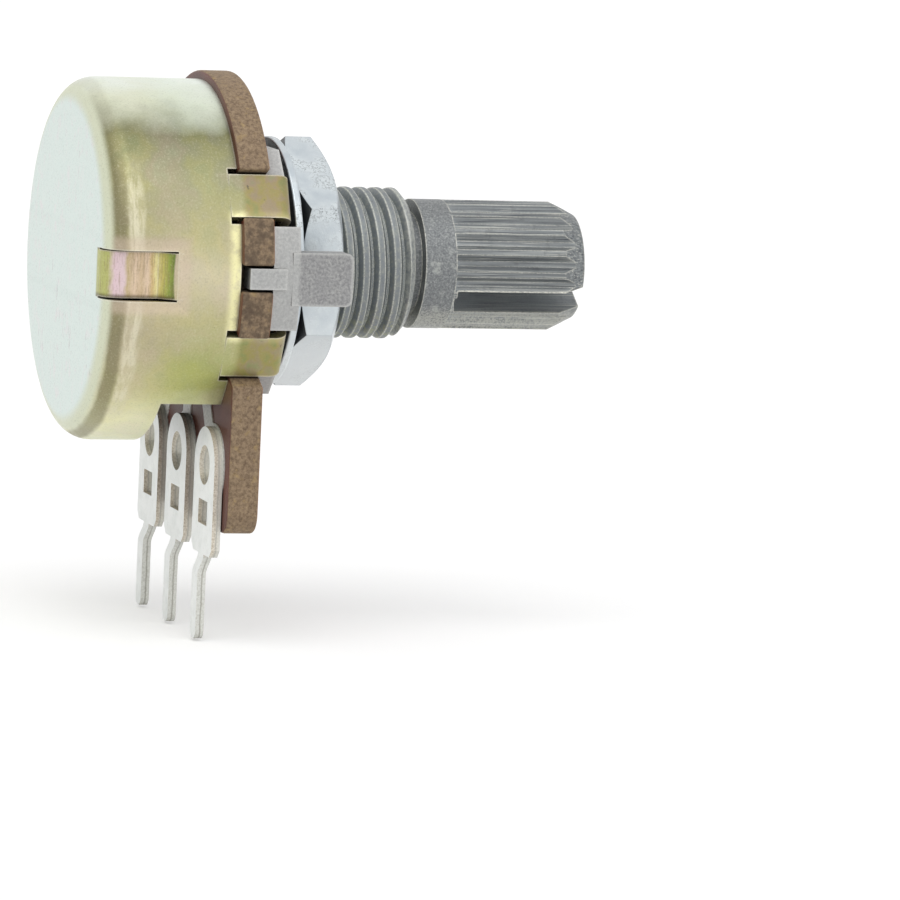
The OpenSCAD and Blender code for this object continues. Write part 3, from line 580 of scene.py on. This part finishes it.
# The printed films on the board's back: carbon paste for the track, and silver paste for its two
# ends and for the wiper's ring. They are screened on and baked.
carbon_black, tree, where, parts = begin("carbon_black")
fine = cloud(tree, where, 0.08 * mm, 3)
tone = colours(tree, fine, [(0.3, paint(22, 22, 24)), (0.7, paint(44, 44, 47))])
finish(tree, tone, 0.55, 0.0, fine, 0.004 * mm)
silver_print, tree, where, parts = begin("silver_print")
fine = cloud(tree, where, 0.12 * mm, 3)
tone = colours(tree, fine, [(0.3, paint(186, 186, 182)), (0.7, paint(222, 222, 218))])
finish(tree, tone, 0.5, 0.6, fine, 0.006 * mm)
for node, film in (("resistive_track", carbon_black), ("collector_ring", silver_print),
                   ("end_pads", silver_print)):
    reskin(node, film)


# The three terminals: tinned strip, stamped and bent. Each has an eyelet barrel drawn from the
# strip, pushed through the board and crimped over on its front in petals.
terminal_rounding = 0.045 * mm
board_front = 1.25 * mm
eyelet_z = -8.85 * mm
eyelet_bore_r = 0.6 * mm
petal_reach_r = 1.6 * mm
petal_count = 6
petal_steps_round = 288
petal_steps_across = 30
split_half = 0.075 * mm
split_floor = 0.25
split_curve = 0.7
split_pivot = 0.3
split_jitter = 0.2
split_slant = 0.5
petal_lean = 0.28
lip_half_share = 0.17
rim_wander = 0.05 * mm
rim_dip = 0.06 * mm
rim_waves = (5, 11, 17, 29)
petal_rise = 0.28 * mm
lip_rise = 0.32 * mm
bend_top = -12.9 * mm
bend_length = 0.9 * mm
bend_depth = 0.25 * mm
strip_middle = 2.93 * mm
petal_flush = 0.002 * mm
petal_pressed = 0.05
bend_steps = 10
bend_cuts = np.linspace(bend_top, bend_top - bend_length, bend_steps + 1)[1:-1].tolist()


def soften_terminal(points):
    """Rounds the pin's double bend: the straight slope t becomes t squared times (3 - 2 t). The plain
    petals are pressed flat, because curled ones go over them."""
    t = (bend_top - points[:, 2]) / bend_length
    inside = (t > 0) & (t < 1)
    points[:, 1] += np.where(inside, bend_depth * (t * t * (3 - 2 * t) - t), 0)
    proud = board_front - points[:, 1]
    points[:, 1] = np.where(proud > petal_flush, board_front - proud * petal_pressed, points[:, 1])
    return points


def curled_petals(x, chance):
    """One crimped eyelet over angle a and share u of the way from bore to rim. Its height is the larger of
    two half ellipses, a narrow lip round the bore and the petals' broad arch. Six slanting splits cut the
    arch, each petal leans a little over the next, and the torn rim wanders in and out."""
    a = np.linspace(0, 2 * np.pi, petal_steps_round, endpoint=False)[:, None]
    u = np.linspace(0, 1, petal_steps_across)[None, :]
    lip = lip_rise * np.sqrt(np.clip(1 - ((u - lip_half_share) / lip_half_share) ** 2, 0, 1))
    arch = petal_rise * np.sqrt(np.clip(1 - ((u - 0.5) / 0.5) ** 2, 0, 1))
    each = 2 * np.pi / petal_count
    jitter = chance.uniform(-split_jitter, split_jitter, petal_count)
    starts = np.sort((np.arange(petal_count) + jitter) * each)
    slant = chance.uniform(-split_slant, split_slant, petal_count)
    turn = a[..., None] - starts - slant * (u[..., None] - split_pivot)
    off = (turn + np.pi) % (2 * np.pi) - np.pi
    away = np.abs(off).min(-1) * (eyelet_bore_r + u * (petal_reach_r - eyelet_bore_r))
    open_split = np.clip(away / split_half, 0, 1) ** split_curve
    lean = (turn % (2 * np.pi)).min(-1) / each
    arch = arch * (split_floor + (1 - split_floor) * open_split) * (1.0 - petal_lean * np.clip(lean, 0, 1))
    height = np.maximum(lip, arch)
    waves = sum(np.sin(a * n + chance.uniform(0, 6)) for n in rim_waves) / len(rim_waves)
    rim = petal_reach_r - rim_wander + rim_wander * waves - rim_dip * (1 - open_split[:, -1:])
    radius = eyelet_bore_r + u * (rim - eyelet_bore_r)
    points = np.stack([x + radius * np.cos(a), board_front - height, eyelet_z + radius * np.sin(a)], -1)
    here = np.arange(points.shape[0] * points.shape[1]).reshape(points.shape[:2])
    beside, beyond = np.roll(here, -1, 1), np.roll(here, -1, 0)
    return points.reshape(-1, 3), np.stack([here, beside, np.roll(beside, -1, 0), beyond], -1).reshape(-1, 4)


chance = np.random.default_rng(7)
terminals = []
for number, x in ((1, 5 * mm), (2, 0.0), (3, -5 * mm)):
    terminals.append(dressed("tinned_terminal_%d" % number, "terminal_%d" % number, "housing",
                             terminal_rounding, cuts=[(2, bend_cuts)],
                             bend=soften_terminal))
    petals = from_arrays("curled_petals_%d" % number, *curled_petals(x, chance))
    petals.data.shade_smooth()
    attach(petals, "housing")
    terminals.append(petals)

tinned, tree, where, parts = begin("tinned")
lumps = cloud(tree, where, 0.7 * mm, 4)
fine = cloud(tree, where, 0.08 * mm, 3, roughness=0.65)
tone = colours(tree, lumps, [(0.3, paint(234, 237, 234)), (0.6, paint(248, 250, 248))])
tone = blend(tree, step(tree, fine, 0.6, 0.76, 0, 0.5), tone, paint(196, 198, 194))
side = step(tree, size(tree, facing_y(tree)), 0.7, 0.3)
blade_edge = colours(tree, fine, [(0.3, paint(178, 166, 146)), (0.5, paint(216, 207, 190)),
                                  (0.75, paint(244, 239, 228))])
pin_edge = colours(tree, fine, [(0.3, paint(200, 200, 192)), (0.6, paint(226, 227, 221))])
edge = blend(tree, step(tree, parts["Z"], -12.7 * mm, -13.1 * mm), blade_edge, pin_edge)
middle = step(tree, parts["Z"], bend_top, bend_top - bend_length,
              strip_middle, strip_middle + bend_depth)
wander = times(tree, minus(tree, lumps, 0.5), 0.12 * mm)
across = plus(tree, minus(tree, parts["Y"], middle), wander)
torn = step(tree, size(tree, across), 0.05 * mm, 0.01 * mm)
edge = blend(tree, times(tree, torn, 0.55), edge, paint(128, 122, 110))
tone = blend(tree, side, tone, edge)
# Painted light: the sideways faces towards the board, in the eyelets' bores and at the front of the cut
# edges, are made paler.
bore = times(tree, side, step(tree, parts["Y"], 3.15 * mm, 2.7 * mm))
tone = blend(tree, times(tree, bore, 0.8), tone, paint(224, 226, 221))
# Painted shade in the corners.
tone = paint_hollow_shading(tree, tone, 0.4 * mm, 0.2, paint(120, 114, 100))
finish(tree, tone, step(tree, lumps, 0.3, 0.7, 0.42, 0.55), 0.35, fine, 0.012 * mm)
for piece in terminals:
    piece.data.materials.append(tinned)


# The rotor, moulded in black plastic and riveted to the shaft, and the bronze wiper on it that
# runs on the printed rings. Both turn out of sight inside the cover.
rotor_black, tree, where, parts = begin("rotor_black")
fine = cloud(tree, where, 0.2 * mm, 3)
tone = colours(tree, fine, [(0.3, paint(30, 30, 32)), (0.7, paint(46, 46, 49))])
finish(tree, tone, step(tree, fine, 0.3, 0.7, 0.4, 0.55), 0.0, fine, 0.01 * mm)
wiper_bronze, tree, where, parts = begin("wiper_bronze")
fine = cloud(tree, where, 0.1 * mm, 3, stretch=(8, 1, 1))
tone = colours(tree, fine, [(0.3, paint(176, 128, 66)), (0.7, paint(214, 166, 96))])
finish(tree, tone, 0.3, 0.95, fine, 0.006 * mm)
for node, skin in (("rotor", rotor_black), ("wiper", wiper_bronze)):
    reskin(node, skin)


# The dust cover: a cup drawn from steel sheet, zinc plated and passivated, so it shines from
# pale green on its back to gold, olive and pink on its wall. Over that tint the wall carries painted
# light: painted reflections pale at its top and bottom, and painted shade and highlight in bands near
# the back and along the stop. Four tabs are crimped over the plate.
cover_rounding = 0.07 * mm
cover_back = 8.85 * mm
cover_r = 8.3 * mm
stop_front = 5.6 * mm
stop_half = 1.05 * mm
stop_foot = 5.25 * mm
beside_stop = 1.3 * mm
stop_steps = 6
tab_root = 3.25 * mm
wall_reach = 8.6 * mm


def bend_stop_root(points):
    """The stop's root, cut flat across the wall, is bent to the wall's own radius."""
    x, y, z = points.T
    chosen = (y > stop_foot + 0.05 * mm) & (y < stop_front + near) & (abs(z) < stop_half + near)
    return to_radius(points, chosen & (x < 0) & (np.hypot(x, z) > cover_r - 0.1 * mm), cover_r)


stop_cuts = np.linspace(-stop_half, stop_half, stop_steps + 1)[1:-1].tolist() + [-beside_stop, beside_stop]
cover = dressed("drawn_cover", "dust_cover", "housing", cover_rounding,
                cuts=[(1, [tab_root, stop_foot]), (2, stop_cuts)], bend=bend_stop_root)

passivated, tree, where, parts = begin("passivated")
x, y, z = parts["X"], parts["Y"], parts["Z"]
drift = cloud(tree, where, 2.4 * mm, 4)
mottle = cloud(tree, where, 0.7 * mm, 4, roughness=0.6)
drawn = cloud(tree, where, 0.5 * mm, 4, stretch=(1, 0.5, 6), roughness=0.6)
fine = cloud(tree, where, 0.09 * mm, 3, roughness=0.7)
# The wall's colour by height is its passivation tint together with painted light: pale painted reflections
# at top and bottom, and a dark olive band of painted shade below the top.
height = plus(tree, z, times(tree, minus(tree, drift, 0.5), 1.6 * mm))
level = put(tree, "ShaderNodeMapRange", {"Value": height, "From Min": -wall_reach,
                                         "From Max": wall_reach}).outputs[0]
rear_wall_tint_and_light = colours(tree, level, [(0.0, paint(240, 242, 214)), (0.1, paint(255, 253, 212)),
                                  (0.19, paint(206, 200, 152)), (0.33, paint(184, 174, 142)),
                                  (0.48, paint(202, 190, 158)), (0.6, paint(172, 166, 130)),
                                  (0.72, paint(150, 147, 113)), (0.86, paint(118, 118, 88)),
                                  (0.935, paint(222, 226, 202)), (1.0, paint(240, 247, 240))])
fore_wall_tint_and_light = colours(tree, level, [(0.0, paint(240, 244, 216)), (0.1, paint(255, 255, 212)),
                                  (0.19, paint(184, 190, 116)), (0.27, paint(172, 178, 108)),
                                  (0.37, paint(192, 186, 142)), (0.5, paint(212, 202, 174)),
                                  (0.6, paint(188, 181, 142)), (0.72, paint(150, 150, 116)),
                                  (0.86, paint(112, 114, 84)), (0.935, paint(220, 228, 210)),
                                  (1.0, paint(240, 248, 240))])
forward = step(tree, plus(tree, y, times(tree, mottle, 1.5 * mm)), 7.6 * mm, 5.2 * mm)
wall = blend(tree, forward, rear_wall_tint_and_light, fore_wall_tint_and_light)
bloom = colours(tree, cloud(tree, where, 1.7 * mm, 3, roughness=0.5),
                [(0.3, paint(164, 176, 104)), (0.42, paint(206, 196, 112)), (0.52, paint(186, 180, 140)),
                 (0.62, paint(208, 182, 166)), (0.74, paint(196, 198, 172))])
wall = blend(tree, step(tree, z, 6.8 * mm, 5.8 * mm, 0.05, 0.17), wall, bloom)
seen_y = plus(tree, y, times(tree, minus(tree, drift, 0.5), 0.5 * mm))
reach = times(tree, step(tree, z, 5.6 * mm, 2.5 * mm), step(tree, z, -7.5 * mm, -5.5 * mm))
shade = times(tree, step(tree, seen_y, 7.75 * mm, 8.05 * mm), step(tree, seen_y, 8.6 * mm, 8.4 * mm))
shade = times(tree, shade, step(tree, z, 6.5 * mm, 4 * mm, 0.15, 0.7))
wall = blend(tree, shade, wall, paint(118, 112, 78))
shine = times(tree, step(tree, seen_y, 6.95 * mm, 7.35 * mm), step(tree, seen_y, 7.95 * mm, 7.7 * mm))
shine = times(tree, times(tree, shine, reach), step(tree, drawn, 0.4, 0.6, 0.3, 1))
wall = blend(tree, times(tree, shine, 0.6), wall, paint(236, 230, 204))
disc = colours(tree, mottle, [(0.3, paint(216, 230, 224)), (0.55, paint(223, 234, 229)),
                              (0.75, paint(231, 231, 230))])
scratched = times(tree, step(tree, z, 0.5 * mm, -1.5 * mm), step(tree, z, -5.5 * mm, -4.0 * mm))
scratch = step(tree, cloud(tree, where, 0.07 * mm, 2, stretch=(1, 1, 20)), 0.65, 0.71)
scratch = times(tree, scratch, step(tree, mottle, 0.5, 0.6))
scratched = larger(tree, scratched, step(tree, drift, 0.52, 0.6, 0, 0.4))
scratch = times(tree, scratch, scratched)
disc = blend(tree, times(tree, scratch, 0.8), disc, paint(128, 130, 128))
r = around(tree, x, z)
disc = blend(tree, step(tree, r, 7.0 * mm, 7.6 * mm, 0, 0.8), disc, paint(214, 216, 184))
at_back = step(tree, y, cover_back - 0.5 * mm, cover_back - 0.2 * mm)
tone = blend(tree, at_back, wall, disc)
rim = times(tree, step(tree, y, 3.4 * mm, 2.95 * mm), step(tree, size(tree, z), 3.1 * mm, 2.7 * mm))
rim = times(tree, rim, step(tree, x, -7.3 * mm, -7.7 * mm))
tone = blend(tree, times(tree, rim, step(tree, mottle, 0.35, 0.55, 0.5, 1.0)), tone, paint(250, 245, 188))
wavy_y = plus(tree, y, times(tree, minus(tree, mottle, 0.5), 0.35 * mm))
band = put(tree, "ShaderNodeMapRange", {"Value": wavy_y, "From Min": stop_front,
                                        "From Max": cover_back}).outputs[0]
stop = colours(tree, band, [(0.0, paint(52, 60, 26)), (0.035, paint(98, 118, 46)),
                            (0.1, paint(150, 166, 78)), (0.18, paint(206, 196, 112)),
                            (0.25, paint(232, 222, 160)), (0.31, paint(212, 186, 132)),
                            (0.37, paint(228, 204, 178)), (0.46, paint(210, 186, 152)),
                            (0.56, paint(226, 202, 176)), (0.66, paint(200, 180, 140)),
                            (0.71, paint(226, 204, 206)), (0.84, paint(228, 202, 208)),
                            (0.91, paint(186, 188, 116))])
streaks = cloud(tree, where, 0.08 * mm, 3, stretch=(1, 1, 10), roughness=0.6)
stop = blend(tree, step(tree, streaks, 0.5, 0.36, 0, 0.4), stop, paint(150, 128, 96))
across = size(tree, z)
in_stop = times(tree, step(tree, across, stop_half + 0.07 * mm, stop_half + 0.03 * mm),
                times(tree, step(tree, x, -8.18 * mm, -8.1 * mm), step(tree, x, -6.1 * mm, -6.4 * mm)))
in_stop = times(tree, in_stop, step(tree, y, stop_front - 0.2 * mm, stop_front))
beside = larger(tree, minus(tree, across, stop_half + 0.08 * mm), minus(tree, stop_front, y))
halo = times(tree, step(tree, beside, 0.8 * mm, 0.35 * mm),
             step(tree, beside, -0.02 * mm, 0.12 * mm, 0.4, 1))
halo = times(tree, halo, step(tree, x, -6.8 * mm, -7.4 * mm))
halo = times(tree, halo, minus(tree, 1.0, at_back))
tone = blend(tree, times(tree, halo, 0.42), tone, paint(222, 200, 182))
# Painted shadow along the stop's lower edge, and a thinner painted shadow along its upper edge.
stop = blend(tree, step(tree, z, -0.82 * mm, -1.02 * mm, 0, 0.75), stop, paint(70, 58, 34))
stop = blend(tree, step(tree, z, 0.96 * mm, 1.06 * mm, 0, 0.6), stop, paint(96, 74, 48))
tone = blend(tree, in_stop, tone, stop)
tone = blend(tree, step(tree, fine, 0.5, 0.75, 0, 0.2), tone, paint(228, 226, 206))
tone = blend(tree, step(tree, fine, 0.5, 0.28, 0, 0.2), tone, paint(104, 104, 84))
on_tab = step(tree, y, 2.7 * mm, 2.3 * mm)
tab = colours(tree, cloud(tree, where, 0.9 * mm, 3),
              [(0.34, paint(122, 130, 74)), (0.46, paint(150, 134, 76)),
               (0.56, paint(148, 126, 106)), (0.68, paint(132, 134, 98))])
tone = blend(tree, times(tree, on_tab, 0.7), tone, tab)
speck = cloud(tree, where, 0.2 * mm, 3, roughness=0.6)
pitted = times(tree, on_tab, step(tree, mottle, 0.46, 0.4))
pitted = larger(tree, pitted, times(tree, step(tree, mottle, 0.36, 0.3), 0.7))
pits = times(tree, step(tree, speck, 0.36, 0.31), pitted)
tone = blend(tree, times(tree, pits, 0.75), tone, paint(92, 88, 80))
# Painted highlight along the edges, and painted shade in the corners.
tone = paint_edge_wear_and_highlight(tree, tone, 0.14 * mm, 0.55, paint(236, 230, 214))
tone = paint_hollow_shading(tree, tone, 0.6 * mm, 0.8, paint(40, 32, 18))
dent = times(tree, step(tree, beside, 0.75 * mm, 0.1 * mm), -1.0)
relief = plus(tree, times(tree, fine, 0.06), dent)
finish(tree, tone, step(tree, mottle, 0.3, 0.7, 0.32, 0.46), 0.6, relief, 0.1 * mm)
cover.data.materials.append(passivated)


# The washer and the hexagon nut: mild steel, bright zinc plated, with fine dark trails in the plating.
# They are left loose for the panel. Their backs are painted nearly black as painted shade, and their
# lower part is paler as a painted reflection.
washer_rounding = 0.11 * mm
nut_rounding = 0.07 * mm

washer = dressed("flat_washer", "washer", "loose_washer", washer_rounding)
nut = dressed("hexagon_nut", "hex_nut", "nut", nut_rounding, keep_angle=20)

bright_zinc, tree, where, parts = begin("bright_zinc")
lumps = cloud(tree, where, 1.2 * mm, 3)
worms = cloud(tree, where, 0.3 * mm, 4, roughness=0.7)
fine = cloud(tree, where, 0.06 * mm, 2)
tone = colours(tree, lumps, [(0.3, paint(190, 199, 205)), (0.6, paint(212, 219, 222))])
# Painted reflection: paler towards the bottom.
tone = blend(tree, step(tree, parts["Z"], -1.5 * mm, -4.5 * mm, 0, 0.8), tone, paint(238, 243, 244))
trail = size(tree, minus(tree, worms, 0.5))
trail = times(tree, step(tree, trail, 0.02, 0.004), step(tree, lumps, 0.46, 0.6))
trail = times(tree, trail, step(tree, parts["Z"], 0.5 * mm, 3.0 * mm, 0.25, 1))
tone = blend(tree, times(tree, trail, 0.9), tone, paint(96, 102, 104))
tone = blend(tree, step(tree, fine, 0.62, 0.72, 0, 0.35), tone, paint(240, 243, 245))
tone = paint_edge_wear_and_highlight(tree, tone, 0.12 * mm, 0.5, paint(150, 157, 162))
# Painted shade in the corners.
tone = paint_hollow_shading(tree, tone, 0.6 * mm, 0.8, paint(30, 32, 36))
# Painted shade: faces that look back to the casting are made nearly black.
tone = blend(tree, step(tree, facing_y(tree), 0.6, 0.95, 0, 0.9), tone, paint(34, 36, 41))
finish(tree, tone, step(tree, fine, 0.3, 0.7, 0.28, 0.42), 0.65, worms, 0.015 * mm)
washer.data.materials.append(bright_zinc)
nut.data.materials.append(bright_zinc)
